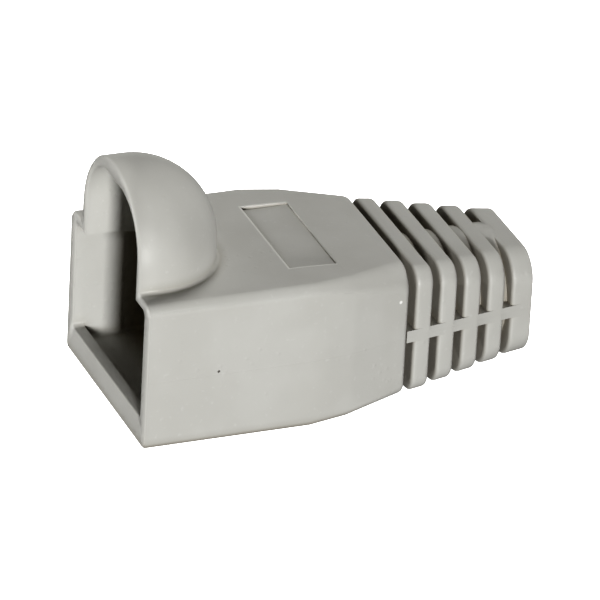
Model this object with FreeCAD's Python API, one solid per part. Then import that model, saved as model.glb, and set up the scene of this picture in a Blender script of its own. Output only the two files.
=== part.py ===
import FreeCAD, Part
import math
import os

# Strain relief boot for an eight-way modular plug: one soft moulding.
# A square sleeve slips over the back of the plug, an open hood on its top
# shields the plug's latch, and a ringed tail bends with the cable.
#
# Frame: +X runs from the mouth to the tail, +Y across, +Z up through the hood.
# The origin is under the middle of the boot, on the face that it lies on.
# The shapes are drawn with the mouth at x = 0 and moved there at the end.
# All sizes are in millimetres.

V = FreeCAD.Vector

# --- Socket for the plug -----------------------------------------------------
plug_width = 11.7
plug_clearance = 0.05  # on each side of the plug
side_wall = 0.9
floor_thickness = 0.95
ceiling_thickness = 0.65
socket_depth = 12.2
socket_corner_radius = 0.3
lip_height = 1.75  # ridge across the floor that keeps the plug in
lip_depth = 0.75
shoulder = 0.5  # ledge round the socket's end, which stops the plug
throat_length = 3.2  # behind the socket the inside narrows towards the cable
throat_end_width = 8.4
throat_end_height = 6.2

# --- Sleeve, outside ---------------------------------------------------------
sleeve_height = 9.34
sleeve_straight = 11.7  # from the mouth to where the sleeve starts to narrow
sleeve_narrowing = 5.18  # from there to the first groove of the tail
sleeve_bend_ease = 1.2  # the bend is eased over this much on each side of it
sleeve_end_width = 11.28
sleeve_end_drop = 0.42  # the top face falls this much while it narrows
sleeve_end_rise = 0.65  # the underside rises this much while it narrows
upper_edge_radius = 0.66
upper_edge_radius_end = 1.6
lower_edge_radius = 0.4
lower_edge_radius_end = 0.6
sleeve_end_rounding = 0.28

# --- Hood over the plug's latch ----------------------------------------------
hood_width = 9.9
hood_height = 6.21  # above the sleeve's top face
hood_straight = 1.38  # from the mouth to where the hood's plan turns round
hood_side_wall = 0.63
hood_top_wall = 1.1
hood_inside_flat = 2.24  # width of the flat between the rounded shoulders of the inside
hood_root_radius = 0.24

# --- Plain recess in the top face --------------------------------------------
recess_start = 9.77
recess_length = 2.93
recess_width = 8.12
recess_depth = 0.2

# --- Tail --------------------------------------------------------------------
cable_diameter = 6.0
tail_axis_height = 4.42  # height of the cable, and of the mould's parting plane
ring_count = 5
groove_length = 0.51
ring_length = 1.17
ring_draft = 0.13  # each side of a ring leans in by this much for each millimetre
end_ring_length = 1.43
core_diameter = 7.1
tail_root_width = 11.1
tail_root_top = 8.7
tail_root_bottom = 0.28
tail_root_corner_radius = 0.95
tail_end_width = 7.96
tail_end_top = 7.8
tail_end_bottom = 0.95
tail_end_corner_radius = 1.9
ring_edge_radius = 0.25
end_edge_radius = 0.12
bridge_height = 0.78

# --- Edges -------------------------------------------------------------------
mouth_edge_chamfer = 0.13
edge_flats = 3  # a rounded edge across the boot is a fan of this many short flats

# --- Worked out from the sizes above -----------------------------------------
socket_width = plug_width + 2 * plug_clearance
socket_top = sleeve_height - ceiling_thickness
sleeve_width = socket_width + 2 * side_wall
sleeve_length = sleeve_straight + sleeve_narrowing
hood_length = hood_straight + hood_width / 2
tail_length = (ring_count - 1) * (groove_length + ring_length) + groove_length + end_ring_length
overall_length = sleeve_length + tail_length
beyond = 1.0  # how far a cutting tool reaches past the face that it enters
tolerance = 1e-4  # for picking edges by their place


def outline(x, width, low, high, low_radius, high_radius):
    """Closed outline across the boot at x, with two rounded corners above and two below."""
    half = width / 2
    bend = 1 - math.sqrt(0.5)
    points = {
        "bottom_left": V(x, -half + low_radius, low),
        "bottom_right": V(x, half - low_radius, low),
        "right_low": V(x, half, low + low_radius),
        "right_high": V(x, half, high - high_radius),
        "top_right": V(x, half - high_radius, high),
        "top_left": V(x, -half + high_radius, high),
        "left_high": V(x, -half, high - high_radius),
        "left_low": V(x, -half, low + low_radius),
    }
    low_bend = bend * low_radius
    high_bend = bend * high_radius
    edges = [
        Part.LineSegment(points["bottom_left"], points["bottom_right"]),
        Part.Arc(points["bottom_right"], V(x, half - low_bend, low + low_bend), points["right_low"]),
        Part.LineSegment(points["right_low"], points["right_high"]),
        Part.Arc(points["right_high"], V(x, half - high_bend, high - high_bend), points["top_right"]),
        Part.LineSegment(points["top_right"], points["top_left"]),
        Part.Arc(points["top_left"], V(x, -half + high_bend, high - high_bend), points["left_high"]),
        Part.LineSegment(points["left_high"], points["left_low"]),
        Part.Arc(points["left_low"], V(x, -half + low_bend, low + low_bend), points["bottom_left"]),
    ]
    return Part.Wire([edge.toShape() for edge in edges])


def rounded_edge(radius):
    """Steps (distance along X, distance inward) that round an edge off towards +X."""
    angles = [math.radians(90) * step / edge_flats for step in range(edge_flats + 1)]
    return [(radius * math.sin(angle), radius * (1 - math.cos(angle))) for angle in angles]


def narrowing_outline(x, inset=0.0):
    """Outline of the sleeve at x, where it narrows towards the tail, drawn in by inset."""
    share = (x - sleeve_straight) / sleeve_narrowing
    return outline(
        x,
        sleeve_width + share * (sleeve_end_width - sleeve_width) - 2 * inset,
        share * sleeve_end_rise + inset,
        sleeve_height - share * sleeve_end_drop - inset,
        lower_edge_radius + share * (lower_edge_radius_end - lower_edge_radius) - inset,
        upper_edge_radius + share * (upper_edge_radius_end - upper_edge_radius) - inset,
    )


def make_sleeve():
    """Solid sleeve: a straight block, an eased bend, then a block that narrows towards the tail."""
    straight_end = sleeve_straight - sleeve_bend_ease
    straight_outline = outline(
        0, sleeve_width, 0, sleeve_height, lower_edge_radius, upper_edge_radius
    )
    straight_block = Part.Face(straight_outline).extrude(V(straight_end, 0, 0))
    bend_start = straight_outline.copy()
    bend_start.translate(V(straight_end, 0, 0))
    bend_end = narrowing_outline(sleeve_straight + sleeve_bend_ease)
    rounding_start = sleeve_length - sleeve_end_rounding
    rounding = [
        narrowing_outline(rounding_start + advance, inset)
        for advance, inset in rounded_edge(sleeve_end_rounding)
    ]
    narrow_block = Part.makeLoft([bend_start, bend_end] + rounding, True, True)
    return straight_block.fuse(narrow_block).removeSplitter()


def make_hood():
    """Outside of the hood: a round arch on straight walls, closed behind by a quarter ball."""
    radius = hood_width / 2
    axis_height = sleeve_height + hood_height - radius
    foot = sleeve_height - ceiling_thickness / 2
    arch = Part.makeCylinder(radius, hood_straight, V(0, 0, axis_height), V(1, 0, 0))
    ball = Part.makeSphere(radius, V(hood_straight, 0, axis_height))
    post = Part.makeCylinder(radius, axis_height - foot, V(hood_straight, 0, foot))
    walls = Part.makeBox(hood_straight, hood_width, axis_height - foot, V(0, -radius, foot))
    room = Part.makeBox(hood_length, hood_width, axis_height + radius - foot, V(0, -radius, foot))
    return arch.fuse([ball, post, walls]).common(room).removeSplitter()


def make_hood_inside():
    """Space under the hood: an arch with rounded shoulders, turned round behind."""
    half = hood_width / 2 - hood_side_wall
    shoulder_radius = half - hood_inside_flat / 2
    top = sleeve_height + hood_height - hood_top_wall
    base = socket_top - socket_corner_radius
    bend = shoulder_radius * (1 - math.sqrt(0.5))
    middle_top = V(0, 0, top)
    shoulder_start = V(0, half - shoulder_radius, top)
    shoulder_middle = V(0, half - bend, top - bend)
    shoulder_end = V(0, half, top - shoulder_radius)
    foot = V(0, half, base)
    middle_foot = V(0, 0, base)
    half_profile = Part.Wire([
        Part.LineSegment(middle_foot, middle_top).toShape(),
        Part.LineSegment(middle_top, shoulder_start).toShape(),
        Part.Arc(shoulder_start, shoulder_middle, shoulder_end).toShape(),
        Part.LineSegment(shoulder_end, foot).toShape(),
        Part.LineSegment(foot, middle_foot).toShape(),
    ])
    half_face = Part.Face(half_profile)
    back = half_face.revolve(V(0, 0, 0), V(0, 0, 1), -180)
    back.translate(V(hood_straight, 0, 0))
    near_half = half_face.extrude(V(hood_straight + beyond, 0, 0))
    near_half.translate(V(-beyond, 0, 0))
    far_half = near_half.mirror(V(0, 0, 0), V(0, 1, 0))
    return near_half.fuse([far_half, back]).removeSplitter()


def rectangle(x, width, low, high):
    """Closed rectangle across the boot at x."""
    half = width / 2
    corners = [V(x, -half, low), V(x, half, low), V(x, half, high), V(x, -half, high)]
    return Part.makePolygon(corners + [corners[0]])


def make_inside():
    """Space inside: the entry over the lip, the socket, the throat and the cable's bore."""
    entry = outline(
        -beyond, socket_width, lip_height, socket_top, socket_corner_radius, socket_corner_radius
    )
    entry_space = Part.Face(entry).extrude(V(beyond + lip_depth, 0, 0))
    socket = outline(
        lip_depth, socket_width, floor_thickness, socket_top, socket_corner_radius, socket_corner_radius
    )
    socket_space = Part.Face(socket).extrude(V(socket_depth - lip_depth, 0, 0))
    throat_start = rectangle(
        socket_depth,
        socket_width - 2 * shoulder,
        floor_thickness + shoulder,
        socket_top - shoulder,
    )
    throat_end = rectangle(
        socket_depth + throat_length,
        throat_end_width,
        tail_axis_height - throat_end_height / 2,
        tail_axis_height + throat_end_height / 2,
    )
    throat = Part.makeLoft([throat_start, throat_end], True, True)
    bore = Part.makeCylinder(
        cable_diameter / 2,
        overall_length - socket_depth + beyond,
        V(socket_depth, 0, tail_axis_height),
        V(1, 0, 0),
    )
    return entry_space.fuse([socket_space, throat, bore])


def tail_outline(x):
    """Width, bottom, top and corner radius of the outline that the rings follow at x."""
    share = (x - sleeve_length) / tail_length
    width = tail_root_width + share * (tail_end_width - tail_root_width)
    low = tail_root_bottom + share * (tail_end_bottom - tail_root_bottom)
    high = tail_root_top + share * (tail_end_top - tail_root_top)
    radius = tail_root_corner_radius + share * (tail_end_corner_radius - tail_root_corner_radius)
    return width, low, high, radius


def make_ring(start, length, far_edge_radius):
    """One ring of the tail: its sides lean in towards the end, and its outer edges are rounded."""
    middle = start + length / 2
    width, low, high, radius = tail_outline(middle)
    near_start = start + ring_edge_radius
    far_start = start + length - far_edge_radius
    near_edge = [(near_start - advance, inset) for advance, inset in rounded_edge(ring_edge_radius)]
    far_edge = [(far_start + advance, inset) for advance, inset in rounded_edge(far_edge_radius)]
    sections = []
    for x, edge_inset in near_edge[::-1] + far_edge:
        inset = edge_inset + ring_draft * (x - middle)
        corner = radius - inset
        sections.append(outline(x, width - 2 * inset, low + inset, high - inset, corner, corner))
    return Part.makeLoft(sections, True, True)


def make_bridge_form():
    """Straight-sided form that follows the rings' sides, from the sleeve into the end ring."""
    end = overall_length - end_ring_length / 2
    sections = []
    for x in (sleeve_length, end):
        width = tail_outline(x)[0]
        low = tail_axis_height - bridge_height / 2
        sections.append(rectangle(x, width, low, low + bridge_height))
    return Part.makeLoft(sections, True, True)


def make_tail():
    """Ringed tail: a round core, rings round it, and a bridge along each side."""
    core_end = overall_length - end_ring_length + ring_edge_radius
    core = Part.makeCylinder(
        core_diameter / 2,
        core_end - sleeve_length,
        V(sleeve_length, 0, tail_axis_height),
        V(1, 0, 0),
    )
    pitch = groove_length + ring_length
    first_ring = sleeve_length + groove_length
    rings = [
        make_ring(first_ring + index * pitch, ring_length, ring_edge_radius)
        for index in range(ring_count - 1)
    ]
    rings.append(make_ring(overall_length - end_ring_length, end_ring_length, end_edge_radius))
    return core.fuse(rings + [make_bridge_form()])


def mouth_edges(shape):
    """The shape's edges that lie wholly in the plane of the mouth."""
    return [
        edge
        for edge in shape.Edges
        if abs(edge.BoundBox.XMin) < tolerance and abs(edge.BoundBox.XMax) < tolerance
    ]


def hood_foot_edges(shape):
    """The edges where the hood's outside meets the sleeve's top face."""
    return [
        edge
        for edge in shape.Edges
        if abs(edge.BoundBox.ZMin - sleeve_height) < tolerance
        and abs(edge.BoundBox.ZMax - sleeve_height) < tolerance
        and edge.BoundBox.XMax < hood_length + tolerance
        and edge.BoundBox.XLength > tolerance
        and edge.BoundBox.YLength < hood_width - tolerance
        and edge.BoundBox.YMax < hood_width / 2 + tolerance
        and edge.BoundBox.YMin > -hood_width / 2 - tolerance
    ]


def make_boot():
    """The whole moulding, with the mouth at x = 0."""
    boot = make_sleeve().fuse(make_hood()).removeSplitter()
    boot = boot.makeFillet(hood_root_radius, hood_foot_edges(boot))
    recess = Part.makeBox(
        recess_length,
        recess_width,
        recess_depth + beyond,
        V(recess_start, -recess_width / 2, sleeve_height - recess_depth),
    )
    boot = boot.fuse(make_tail()).cut([make_inside(), make_hood_inside(), recess])
    return boot.makeChamfer(mouth_edge_chamfer, mouth_edges(boot))


boot = make_boot()
boot.translate(V(-overall_length / 2, 0, 0))
os.makedirs("parts", exist_ok=True)
boot.exportStep("parts/boot.step")
print("boot", boot.ShapeType, "solids", len(boot.Solids), "valid", boot.isValid(), "volume", round(boot.Volume, 1))
print("box", boot.BoundBox)
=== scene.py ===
# %% [markdown]
# # Strain relief boot for a modular plug
# The boot is one soft moulding that slides over the back of a network plug. It is made
# of plasticised PVC, so it looks like soft plastic: pale warm grey, satin rather than
# glossy, with small marks from the mould. The lesson dresses the solid model of the
# boot, sets it on a pale table and lights it.
#
# The solid model is loaded first, and its box is kept, because the places below are
# measured from it. The mouth is at the low end of X, the near side is at the low end of
# Y, and the underside is at zero height. Blender measures in metres, and the boot is
# about 25 mm long, so a helper turns millimetres into metres.

import bpy
import math
from mathutils import Matrix, Vector


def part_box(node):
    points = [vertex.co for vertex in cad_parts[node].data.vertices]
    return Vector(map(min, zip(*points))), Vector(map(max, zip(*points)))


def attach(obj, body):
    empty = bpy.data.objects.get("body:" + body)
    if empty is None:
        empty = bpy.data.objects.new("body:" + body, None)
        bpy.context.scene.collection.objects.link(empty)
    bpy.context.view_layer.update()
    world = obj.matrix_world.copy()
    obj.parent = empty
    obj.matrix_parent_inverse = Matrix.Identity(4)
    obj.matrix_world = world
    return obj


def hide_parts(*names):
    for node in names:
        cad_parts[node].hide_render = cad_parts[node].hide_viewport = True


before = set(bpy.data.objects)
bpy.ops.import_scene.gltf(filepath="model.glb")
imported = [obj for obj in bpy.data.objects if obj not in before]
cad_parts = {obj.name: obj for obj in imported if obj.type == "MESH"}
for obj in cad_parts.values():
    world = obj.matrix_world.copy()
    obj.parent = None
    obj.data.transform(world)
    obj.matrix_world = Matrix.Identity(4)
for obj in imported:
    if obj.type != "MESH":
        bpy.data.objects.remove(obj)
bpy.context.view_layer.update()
low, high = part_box("boot")
length, width, height = high - low


def mm(value):
    """Millimetres to metres."""
    return value / 1000


print(f"boot: {length * 1000:.2f} x {width * 1000:.2f} x {height * 1000:.2f} mm")

# %% [markdown]
# ## The skin
# A moulding is closed and smooth, with its edges a little rounded. The solid model is a
# mesh of loose triangles that carry their own shading, so it stays as it is, and a copy
# is merged into one closed skin that takes its place in the picture.
#
# Another way would be to remesh the copy into small even voxels, but that would melt
# the square shoulders of the tail's rings.

# %% Copy the boot and merge its triangles
MERGE_DISTANCE = mm(0.001)

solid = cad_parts["boot"]
skin = bpy.data.objects.new("boot_skin", solid.data.copy())
bpy.context.scene.collection.objects.link(skin)

bpy.ops.object.select_all(action="DESELECT")
skin.select_set(True)
bpy.context.view_layer.objects.active = skin
bpy.ops.mesh.customdata_custom_splitnormals_clear()
bpy.ops.object.mode_set(mode="EDIT")
bpy.ops.mesh.select_all(action="SELECT")
bpy.ops.mesh.remove_doubles(threshold=MERGE_DISTANCE)
bpy.ops.object.mode_set(mode="OBJECT")
print(f"skin: {len(skin.data.vertices)} points, {len(skin.data.polygons)} faces")

# %% [markdown]
# ## The rim of the recess
# The shallow recess behind the hood has a soft rim, because the plastic doesn't fill a
# sharp corner of the mould. A Bevel modifier would round every sharp edge of the boot,
# so the bevel operator is used on the rim alone. The rim's edges are found by their
# place: both ends lie on the recess's outline, level with the top.

# %% Find the rim and round it
RECESS_START = low.x + mm(9.77)
RECESS_END = RECESS_START + mm(2.93)
RECESS_SIDE = mm(8.12) / 2
RIM_LOWEST = mm(9.25)
RIM_ROUND = mm(0.07)
RIM_STEPS = 3
NEAR = mm(0.01)


def on_rim(point):
    """True where a point is on the recess's outline and level with the top."""
    within_length = RECESS_START - NEAR < point.x < RECESS_END + NEAR
    within_width = abs(point.y) < RECESS_SIDE + NEAR
    on_end = min(abs(point.x - RECESS_START), abs(point.x - RECESS_END)) < NEAR
    on_side = abs(abs(point.y) - RECESS_SIDE) < NEAR
    return point.z > RIM_LOWEST and within_length and within_width and (on_end or on_side)


def on_one_wall(a, b):
    """True where an edge runs along a wall, not across a corner."""
    return abs(a.x - b.x) < NEAR or abs(a.y - b.y) < NEAR


bpy.ops.object.mode_set(mode="EDIT")
bpy.ops.mesh.select_mode(type="EDGE")
bpy.ops.mesh.select_all(action="DESELECT")
bpy.ops.object.mode_set(mode="OBJECT")
points = skin.data.vertices
rim_edges = 0
for edge in skin.data.edges:
    a, b = (points[i].co for i in edge.vertices)
    edge.select = on_rim(a) and on_rim(b) and on_one_wall(a, b)
    rim_edges += edge.select
print(f"rim: {rim_edges} edges")
bpy.ops.object.mode_set(mode="EDIT")
bpy.ops.mesh.bevel(offset=RIM_ROUND, segments=RIM_STEPS, affect="EDGES")
bpy.ops.object.mode_set(mode="OBJECT")

# %% [markdown]
# ## Shading
# Faces that meet at a shallow angle are shaded as one curve, and sharper edges stay
# edges. A Weighted Normal modifier then gives the large flat faces the last word, so
# that a rounded corner doesn't drag a false gradient across the flat beside it. The
# hood is a dome with no flats, so it is kept out of this by a vertex group.

# %% Shade it smooth, but keep its edges and flats
SMOOTH_BELOW = math.radians(50)
HOOD_FOOT = mm(9.36)

bpy.ops.object.shade_smooth_by_angle(angle=SMOOTH_BELOW)
below_hood = [v.index for v in skin.data.vertices if v.co.z < HOOD_FOOT]
skin.vertex_groups.new(name="below_hood").add(below_hood, 1.0, "REPLACE")
print(f"below the hood: {len(below_hood)} points")
flats = skin.modifiers.new("flats", "WEIGHTED_NORMAL")
flats.keep_sharp = True
flats.vertex_group = "below_hood"
bpy.ops.object.modifier_apply(modifier="flats")

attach(skin, "root")
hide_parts("boot")

# %% [markdown]
# ## The plastic
# The colour of a moulding is mixed into the plastic, so it is even, and the life comes
# from small things: a fine grain that the mould leaves, slow ripples where thick places
# shrank, little clouds in the colour, a few raised dots, painted shade in the grooves,
# and the thin line where the two halves of the mould met. A picture wrapped round the
# boot could hold them, but it would need its seams hidden, so each is one short chain of
# nodes on Object coordinates. These are in metres, so a noise scale of 1000 has
# features of about a millimetre.
#
# One helper joins or sets a socket, and another adds a node. Each helper after them
# adds one kind of node and hands back its output.

# %% Helpers for sockets and nodes
def feed(tree, socket, value):
    """Join a socket to another one, or set a plain value on it."""
    if isinstance(value, bpy.types.NodeSocket):
        tree.links.new(value, socket)
    else:
        socket.default_value = value


def add_node(tree, kind, **inputs):
    """Add a node and feed the inputs that are named, with _ for a space."""
    node = tree.nodes.new(kind)
    for name, value in inputs.items():
        feed(tree, node.inputs[name.replace("_", " ")], value)
    return node


# %% Helpers for a noise, a ramp and a blend
# The Mix node has sockets of one name for each kind of value, so its colour sockets
# are found by their number.
FIRST_COLOUR, SECOND_COLOUR, MIXED_COLOUR = 6, 7, 2


def add_noise(tree, place, scale, detail):
    """Add a noise, which runs from 0 to 1 and is mostly near the middle."""
    noise = add_node(tree, "ShaderNodeTexNoise", Vector=place, Scale=scale, Detail=detail)
    return noise.outputs["Fac"]


def add_ramp(tree, source, span, results):
    """Turn a span of a value smoothly into two results, and hold the ends."""
    start, end = span
    first, last = results
    node = add_node(tree, "ShaderNodeMapRange", Value=source,
                    From_Min=start, From_Max=end, To_Min=first, To_Max=last)
    node.interpolation_type = "SMOOTHSTEP"
    return node.outputs["Result"]


def add_blend(tree, share, first, second):
    """Blend two colours: a share of 0 gives the first, and 1 the second."""
    node = add_node(tree, "ShaderNodeMix", Factor=share)
    node.data_type = "RGBA"
    feed(tree, node.inputs[FIRST_COLOUR], first)
    feed(tree, node.inputs[SECOND_COLOUR], second)
    return node.outputs[MIXED_COLOUR]


# %% [markdown]
# ## Colour of the plastic
# One flat grey would look like paint. Two greys a few percent apart are blended by slow
# clouds, and tiny pale speckles go over them. Where two walls stand close, as between
# the rings, light rarely gets in, so an Ambient Occlusion node paints that shade into
# the colour, darker and warmer.

# %% Clouds, speckles and painted shade
PVC_LIGHT = (0.458, 0.456, 0.432, 1.0)
PVC_DARK = (0.440, 0.437, 0.412, 1.0)
CLOUD_SCALE, CLOUD_DETAIL, CLOUD_SPAN = 260.0, 5.0, (0.35, 0.65)
SPECKLE_COLOUR = (0.52, 0.52, 0.50, 1.0)
SPECKLE_SCALE, SPECKLE_DETAIL, SPECKLE_SPAN = 3200.0, 1.0, (0.64, 0.84)
SPECKLE_SHARE = 0.4
CREVICE_SHADE_COLOUR = (0.21, 0.186, 0.145, 1.0)
CREVICE_SHADE_REACH = mm(0.8)
CREVICE_SHADE_RAYS = 16

pvc = bpy.data.materials.new("soft_pvc")
pvc.use_nodes = True
tree = pvc.node_tree
shader = tree.nodes["Principled BSDF"]
place = add_node(tree, "ShaderNodeTexCoord").outputs["Object"]

clouds = add_noise(tree, place, CLOUD_SCALE, CLOUD_DETAIL)
cloud_share = add_ramp(tree, clouds, CLOUD_SPAN, (0.0, 1.0))
body_colour = add_blend(tree, cloud_share, PVC_DARK, PVC_LIGHT)
speckles = add_noise(tree, place, SPECKLE_SCALE, SPECKLE_DETAIL)
speckle_share = add_ramp(tree, speckles, SPECKLE_SPAN, (0.0, SPECKLE_SHARE))
body_colour = add_blend(tree, speckle_share, body_colour, SPECKLE_COLOUR)
# Painted shade: where the boot shades itself within this reach, the colour is darkened
# and warmed.
crevice_shade = add_node(tree, "ShaderNodeAmbientOcclusion", Distance=CREVICE_SHADE_REACH)
crevice_shade.samples = CREVICE_SHADE_RAYS
body_colour = add_blend(tree, crevice_shade.outputs["AO"], CREVICE_SHADE_COLOUR, body_colour)
print(f"painted shade in gaps of up to {CREVICE_SHADE_REACH * 1000:.1f} mm")

# %% [markdown]
# ## The rim's painted highlight
# The rim of the recess is painted a little paler than the top: a painted highlight where
# its rounded edge catches the light. The rounded faces could have a material of their
# own, but the pale band is wider than they are, and soft. So its mask is worked out: how
# far a point is outside the recess's outline, on the worse of its two directions, and
# only near the top. One ramp starts the band and another ends it.

# %% A painted highlight round the recess
RIM_HIGHLIGHT_COLOUR = (0.64, 0.636, 0.605, 1.0)
RIM_HIGHLIGHT_WIDTH = mm(0.13)
RIM_HIGHLIGHT_SOFT = mm(0.04)
RIM_HIGHLIGHT_SHARE = 0.6


def add_maths(tree, operation, *values):
    """Work out one operation on its values, in order."""
    node = add_node(tree, "ShaderNodeMath")
    node.operation = operation
    for socket, value in zip(node.inputs, values):
        feed(tree, socket, value)
    return node.outputs["Value"]


axes = add_node(tree, "ShaderNodeSeparateXYZ", Vector=place).outputs
recess_middle = (RECESS_START + RECESS_END) / 2
along = add_maths(tree, "SUBTRACT", axes["X"], recess_middle)
along = add_maths(tree, "ABSOLUTE", along)
along = add_maths(tree, "SUBTRACT", along, RECESS_END - recess_middle)
from_middle = add_maths(tree, "ABSOLUTE", axes["Y"])
across = add_maths(tree, "SUBTRACT", from_middle, RECESS_SIDE)
outside = add_maths(tree, "MAXIMUM", along, across)
# Painted highlight: a pale band just outside the recess's outline, near the top.
rim_highlight = add_ramp(tree, outside, (-RIM_HIGHLIGHT_SOFT, RIM_HIGHLIGHT_SOFT), (0.0, RIM_HIGHLIGHT_SHARE))
rim_highlight_end = add_ramp(tree, outside, (RIM_HIGHLIGHT_WIDTH, RIM_HIGHLIGHT_WIDTH + RIM_HIGHLIGHT_SOFT), (1.0, 0.0))
near_top = add_maths(tree, "GREATER_THAN", axes["Z"], RIM_LOWEST)
rim_highlight = add_maths(tree, "MULTIPLY", rim_highlight, rim_highlight_end)
rim_highlight = add_maths(tree, "MULTIPLY", rim_highlight, near_top)
body_colour = add_blend(tree, rim_highlight, body_colour, RIM_HIGHLIGHT_COLOUR)
print(f"painted rim highlight: {RIM_HIGHLIGHT_WIDTH * 1000:.2f} mm wide")

# %% [markdown]
# ## Deep in the mouth
# Past the first couple of millimetres the socket's inside is painted browner and darker
# than the outside: painted shade, where little light gets in. The inner faces could be
# picked out one by one for a second material, but the shade has to come in slowly. So
# their place is a plain box: behind the mouth, between the side walls, above the
# underside and below the top. The outer faces are outside that box, so they keep their
# colour.

# %% Painted shade for the socket
SOCKET_SHADE_COLOUR = (0.22, 0.185, 0.125, 1.0)
TONE_SPAN = (low.x + mm(2.3), low.x + mm(4.3))
SHADE_SHARE = 0.9
SOCKET_END = low.x + mm(12.5)
SOCKET_SIDE = high.y - mm(0.5)
SOCKET_FLOOR, SOCKET_TOP = mm(0.8), mm(9.0)

# Painted shade: deep in the socket the colour is blended towards a dark brown.
painted_shade = add_ramp(tree, axes["X"], TONE_SPAN, (0.0, SHADE_SHARE))
for source, comparison, limit in (
    (axes["X"], "LESS_THAN", SOCKET_END),
    (from_middle, "LESS_THAN", SOCKET_SIDE),
    (axes["Z"], "LESS_THAN", SOCKET_TOP),
    (axes["Z"], "GREATER_THAN", SOCKET_FLOOR),
):
    within = add_maths(tree, comparison, source, limit)
    painted_shade = add_maths(tree, "MULTIPLY", painted_shade, within)
body_colour = add_blend(tree, painted_shade, body_colour, SOCKET_SHADE_COLOUR)
print(f"socket tone: from {(TONE_SPAN[0] - low.x) * 1000:.1f} mm behind the mouth")

# %% [markdown]
# ## Two marks from the mould
# One side has a tiny dark pore, where a gas bubble reached the surface, and a pale
# fleck by the tail. They are under 0.3 mm across, which is finer than the mesh, so each
# is a round mask on the side face: the distance from a point, measured with the depth
# left out. A limit on the depth keeps it off the inner face of the same wall and off
# the far side.

# %% The pore and the fleck
# A mark's place is how far along it is, and its height.
PORE_PLACE, PORE_RADIUS = (low.x + mm(4.51), mm(4.62)), mm(0.10)
PORE_COLOUR = (0.12, 0.112, 0.10, 1.0)
FLECK_PLACE, FLECK_RADIUS = (low.x + mm(16.26), mm(6.98)), mm(0.14)
FLECK_COLOUR = (0.75, 0.75, 0.73, 1.0)
MARK_CORE = 0.45
SLEEVE_SIDE_LIMIT = low.y + mm(0.4)
TAPER_SIDE_LIMIT = low.y + mm(1.8)


def add_mark(tree, axes, centre, radius, side_limit):
    """A round mask on the near side face: 1 at its core and 0 outside."""
    squares = []
    for axis, middle in zip((axes["X"], axes["Z"]), centre):
        offset = add_maths(tree, "SUBTRACT", axis, middle)
        squares.append(add_maths(tree, "POWER", offset, 2.0))
    away = add_maths(tree, "SQRT", add_maths(tree, "ADD", *squares))
    inside = add_ramp(tree, away, (radius * MARK_CORE, radius), (1.0, 0.0))
    on_side = add_maths(tree, "LESS_THAN", axes["Y"], side_limit)
    return add_maths(tree, "MULTIPLY", inside, on_side)


pore = add_mark(tree, axes, PORE_PLACE, PORE_RADIUS, SLEEVE_SIDE_LIMIT)
fleck = add_mark(tree, axes, FLECK_PLACE, FLECK_RADIUS, TAPER_SIDE_LIMIT)
body_colour = add_blend(tree, pore, body_colour, PORE_COLOUR)
body_colour = add_blend(tree, fleck, body_colour, FLECK_COLOUR)
feed(tree, shader.inputs["Base Color"], body_colour)
print("marks at", [round(c * 1000, 2) for c in PORE_PLACE + FLECK_PLACE], "mm")

# %% [markdown]
# ## Relief and gloss
# All of the relief is far finer than the mesh, so it is bump and not shape. Each form
# is a mask of 0 to 1 with a height in metres, and the heights are added up and go
# through one Bump node, so each keeps its true size: ripples of 10 microns that are
# millimetres wide, a grain of 3 microns, dots of 14 microns in a few clusters and one
# patch, the mould's joint line of 6 microns, and the pit of the pore. The gloss varies
# a little too, as handling and the mould leave it.

# %% Ripples, grain, dots, joint line and pit
RIPPLE_SCALE, RIPPLE_DETAIL, RIPPLE_HEIGHT = 420.0, 1.0, mm(0.010)
GRAIN_SCALE, GRAIN_DETAIL, GRAIN_HEIGHT = 8000.0, 3.0, mm(0.003)
DOT_SCALE, DOT_RADIUS, DOT_HEIGHT = 1700.0, 0.30, mm(0.014)
CLUSTER_SCALE, CLUSTER_DETAIL, CLUSTER_SPAN = 300.0, 0.0, (0.56, 0.62)
PATCH_PLACE, PATCH_RADIUS = (low.x + mm(5.0), mm(5.4)), mm(1.7)
JOINT_LINE_Z, JOINT_LINE_HALF, JOINT_LINE_HEIGHT = mm(4.42), mm(0.035), mm(0.006)
PORE_DEPTH = mm(0.05)

ripples = add_noise(tree, place, RIPPLE_SCALE, RIPPLE_DETAIL)
grain = add_noise(tree, place, GRAIN_SCALE, GRAIN_DETAIL)

cells = add_node(tree, "ShaderNodeTexVoronoi", Vector=place, Scale=DOT_SCALE)
dots = add_ramp(tree, cells.outputs["Distance"], (0.0, DOT_RADIUS), (1.0, 0.0))
clusters = add_noise(tree, place, CLUSTER_SCALE, CLUSTER_DETAIL)
clusters = add_ramp(tree, clusters, CLUSTER_SPAN, (0.0, 1.0))
patch = add_mark(tree, axes, PATCH_PLACE, PATCH_RADIUS, SLEEVE_SIDE_LIMIT)
dots = add_maths(tree, "MULTIPLY", dots, add_maths(tree, "MAXIMUM", clusters, patch))

off_line = add_maths(tree, "SUBTRACT", axes["Z"], JOINT_LINE_Z)
off_line = add_maths(tree, "ABSOLUTE", off_line)
joint_line = add_ramp(tree, off_line, (0.0, JOINT_LINE_HALF), (1.0, 0.0))

forms = {
    "ripples": (ripples, RIPPLE_HEIGHT),
    "grain": (grain, GRAIN_HEIGHT),
    "dots": (dots, DOT_HEIGHT),
    "joint line": (joint_line, JOINT_LINE_HEIGHT),
    "pore": (pore, -PORE_DEPTH),
}
relief = 0.0
for name, (form, form_height) in forms.items():
    relief = add_maths(tree, "MULTIPLY_ADD", form, form_height, relief)
    print(f"{name}: {form_height * 1e6:.0f} microns")
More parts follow.
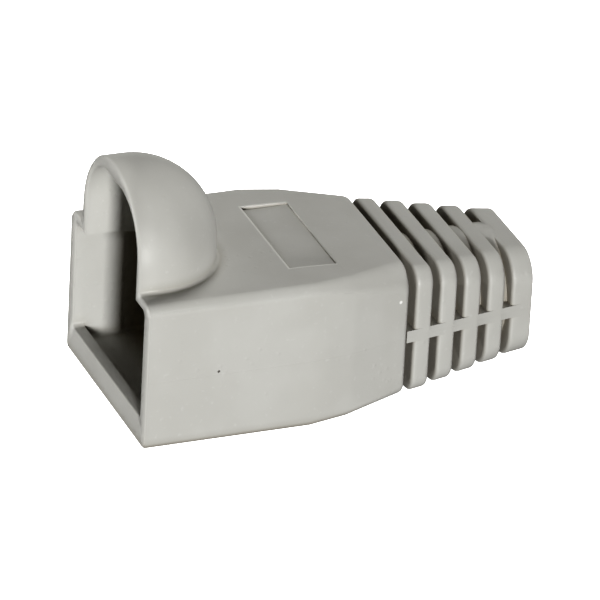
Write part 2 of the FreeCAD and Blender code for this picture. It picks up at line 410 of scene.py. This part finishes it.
# A strength and a distance of 1 leave the heights as they are.
bump = add_node(tree, "ShaderNodeBump", Strength=1.0, Distance=1.0, Height=relief)
feed(tree, shader.inputs["Normal"], bump.outputs["Normal"])

# %% Gloss
WEAR_SCALE, WEAR_DETAIL, WEAR_SPAN = 700.0, 4.0, (0.3, 0.7)
ROUGHNESS_RANGE = (0.50, 0.62)

wear = add_noise(tree, place, WEAR_SCALE, WEAR_DETAIL)
roughness = add_ramp(tree, wear, WEAR_SPAN, ROUGHNESS_RANGE)
feed(tree, shader.inputs["Roughness"], roughness)
print(f"roughness: {ROUGHNESS_RANGE[0]} to {ROUGHNESS_RANGE[1]}")

# %% [markdown]
# ## Dress the skin
# The nodes so far lie in one heap. A helper lays them out in columns, so that the
# chains can be read in the shader editor, and the skin then takes the plastic in place
# of the plain colour that its copy brought along.

# %% Lay the nodes out and put the plastic on
COLUMN_WIDTH, ROW_HEIGHT = 220, 280


def lay_out(tree):
    """Place each node to the left of the nodes that it feeds."""
    columns = {node.name: 0 for node in tree.nodes}
    # A chain is never longer than the number of nodes, so that many passes settle it.
    for _ in tree.nodes:
        for link in tree.links:
            source, target = link.from_node.name, link.to_node.name
            columns[source] = max(columns[source], columns[target] + 1)
    filled = dict.fromkeys(columns.values(), 0)
    for node in tree.nodes:
        column = columns[node.name]
        node.location = (-COLUMN_WIDTH * column, -ROW_HEIGHT * filled[column])
        filled[column] += 1


lay_out(tree)
skin.data.materials.clear()
skin.data.materials.append(pvc)
print("soft PVC:", len(tree.nodes), "nodes")

# %% [markdown]
# ## The table
# The boot lies on a pale sheet that is as bright as the background behind it. The sheet
# is one large plane, a hair below the boot's underside, so that the two faces don't
# fight for the same place. A lit white plane would have a bright pool under each lamp,
# so this one shines by itself and is evenly white. It is kept out of the bounced light,
# so that it doesn't light the boot from below and fill the mouth.

# %% The sheet under the boot
SHEET_REACH = 40 * length
SHEET_GAP = mm(0.01)
SHEET_COLOUR = (0.9, 0.9, 0.9, 1.0)
SHEET_ROUGHNESS = 0.9
SHEET_SHINE = 0.0
GLOW_COLOUR = (1.0, 1.0, 1.0, 1.0)
GLOW_STRENGTH = 1.2

bpy.ops.mesh.primitive_plane_add(size=2 * SHEET_REACH, location=(0, 0, low.z - SHEET_GAP))
table = bpy.context.object
table.name = "table"
table.visible_diffuse = False
table.visible_glossy = False

paper = bpy.data.materials.new("pale_sheet")
paper.use_nodes = True
sheet = paper.node_tree.nodes["Principled BSDF"].inputs
sheet["Base Color"].default_value = SHEET_COLOUR
sheet["Roughness"].default_value = SHEET_ROUGHNESS
sheet["Specular IOR Level"].default_value = SHEET_SHINE
sheet["Emission Color"].default_value = GLOW_COLOUR
sheet["Emission Strength"].default_value = GLOW_STRENGTH
table.data.materials.append(paper)
print(f"table: {2 * SHEET_REACH:.2f} m wide")

# %% [markdown]
# ## The camera
# The boot is seen from in front of one side and from above. A long lens from far away
# keeps its parallel edges nearly parallel, where a short one would make the mouth look
# larger than the tail. The camera's place is worked out from two angles and the boot's
# own size, and it is rolled a little. A helper turns the two angles into a direction,
# and the lamps use it too.

# %% The camera
CAMERA_AZIMUTH, CAMERA_ELEVATION = 22.55, 27.66
CAMERA_ROLL = math.radians(3.15)
CAMERA_DISTANCE = 17.46 * length
LENS, SENSOR_WIDTH = 450, 36
AIM_ALONG, AIM_ACROSS, AIM_UP = -0.033 * length, -0.05 * width, 0.333 * height


def direction(azimuth, elevation):
    """The way out from the boot: degrees from the near side to the mouth, then up."""
    a, e = math.radians(azimuth), math.radians(elevation)
    return Vector((-math.sin(a) * math.cos(e), -math.cos(a) * math.cos(e), math.sin(e)))


aim = Vector((AIM_ALONG, AIM_ACROSS, AIM_UP))
outwards = direction(CAMERA_AZIMUTH, CAMERA_ELEVATION)
camera_data = bpy.data.cameras.new("camera")
camera_data.lens = LENS
camera_data.sensor_width = SENSOR_WIDTH
camera = bpy.data.objects.new("camera", camera_data)
bpy.context.scene.collection.objects.link(camera)
turn = (-outwards).to_track_quat("-Z", "Y").to_matrix().to_4x4()
roll = Matrix.Rotation(CAMERA_ROLL, 4, "Z")
camera.matrix_world = Matrix.Translation(aim + outwards * CAMERA_DISTANCE) @ turn @ roll
bpy.context.scene.camera = camera
print("camera at", [round(c * 1000) for c in camera.matrix_world.translation], "mm")

# %% [markdown]
# ## The lights
# Four soft square lamps light the boot, as in a small studio. The key stands low in
# front of the near side and shines a little way into the mouth. The top lamp stands
# behind and above, so that the hood shades the strip at its foot. The tail lamp stands
# behind the tail and lights the back of the hood. The mouth lamp stands before the open
# end, a little to the far side, so that it lifts the rims but leaves the inside of the
# far wall and of the hood dark. The two lamps behind the boot are left out of the
# gloss, because they would glint along the top as on wet plastic.
#
# A lamp's light thins out with the square of its distance, so a helper works out its
# watts from how bright a white sheet that faces it should be. The room's own light is
# faint and warm, so it only keeps the shadows from going black, and a look with more
# contrast deepens them as a camera does.

# %% Lamps
# A small lamp of this many watts, a metre away, makes a white sheet fully white.
WHITE_WATTS = math.pi ** 2


def add_lamp(name, azimuth, elevation, distance, size, brightness, in_gloss=True):
    """Add a square lamp that faces the boot."""
    data = bpy.data.lights.new(name, "AREA")
    data.size = size
    data.energy = WHITE_WATTS * distance ** 2 * brightness
    lamp = bpy.data.objects.new(name, data)
    lamp.location = direction(azimuth, elevation) * distance
    lamp.rotation_euler = (aim - lamp.location).to_track_quat("-Z", "Y").to_euler()
    lamp.visible_glossy = in_gloss
    bpy.context.scene.collection.objects.link(lamp)
    print(f"{name}: {data.energy:.2f} W")


add_lamp("key_lamp", azimuth=13.2, elevation=6, distance=mm(450), size=mm(45),
         brightness=0.94)
add_lamp("top_lamp", azimuth=200, elevation=60, distance=mm(430), size=mm(140),
         brightness=0.57, in_gloss=False)
add_lamp("tail_lamp", azimuth=240, elevation=7, distance=mm(450), size=mm(100),
         brightness=0.42, in_gloss=False)
add_lamp("mouth_lamp", azimuth=114, elevation=3.5, distance=mm(450), size=mm(50),
         brightness=0.55)

# %% Room light and picture contrast
ROOM_COLOUR = (1.0, 0.88, 0.68, 1.0)
ROOM_LIGHT = 0.02

world = bpy.data.worlds.new("studio")
world.use_nodes = True
room = world.node_tree.nodes["Background"].inputs
room["Color"].default_value = ROOM_COLOUR
room["Strength"].default_value = ROOM_LIGHT
bpy.context.scene.world = world
bpy.context.scene.view_settings.view_transform = "Standard"
bpy.context.scene.view_settings.look = "High Contrast"
print(f"room light: {ROOM_LIGHT}")
